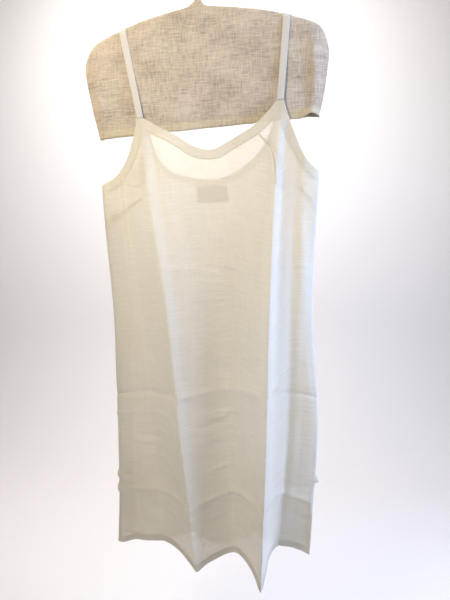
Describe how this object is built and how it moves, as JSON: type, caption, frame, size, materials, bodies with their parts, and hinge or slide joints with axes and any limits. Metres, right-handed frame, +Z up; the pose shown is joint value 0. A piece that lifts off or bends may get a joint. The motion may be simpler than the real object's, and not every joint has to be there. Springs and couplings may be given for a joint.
{
  "type": "slip dress on a covered hanger",
  "caption": "Sheer white A-line slip dress with narrow straps and side slits, hanging in soft folds from a linen-covered hanger with a wire hook",
  "frame": {"origin": "the inside top of the hook's crook, where the rail that holds the hanger touches it", "axes": "+Z up, the dress faces -Y, +X is to the right as one looks at the front; the hook's stem is on the Z axis"},
  "size_m": [0.445, 0.2152, 1.0979],
  "materials": {
    "mull": "thin sheer cotton plain weave, lightly creased",
    "tape": "flat woven cotton tape",
    "linen": "undyed coarse linen",
    "wood": "plain beech, lightly sanded",
    "steel": "bright plated wire"
  },
  "bodies": {
    "root": {"front_panel": "mull", "back_panel": "mull", "front_neck_facing": "mull", "back_neck_facing": "mull", "left_armhole_facing": "mull", "right_armhole_facing": "mull", "neck_label": "tape", "left_strap": "tape", "right_strap": "tape", "hanger_cover": "linen", "hanger_bar": "wood", "hanger_hook": "steel"}
  },
  "joints": []
}
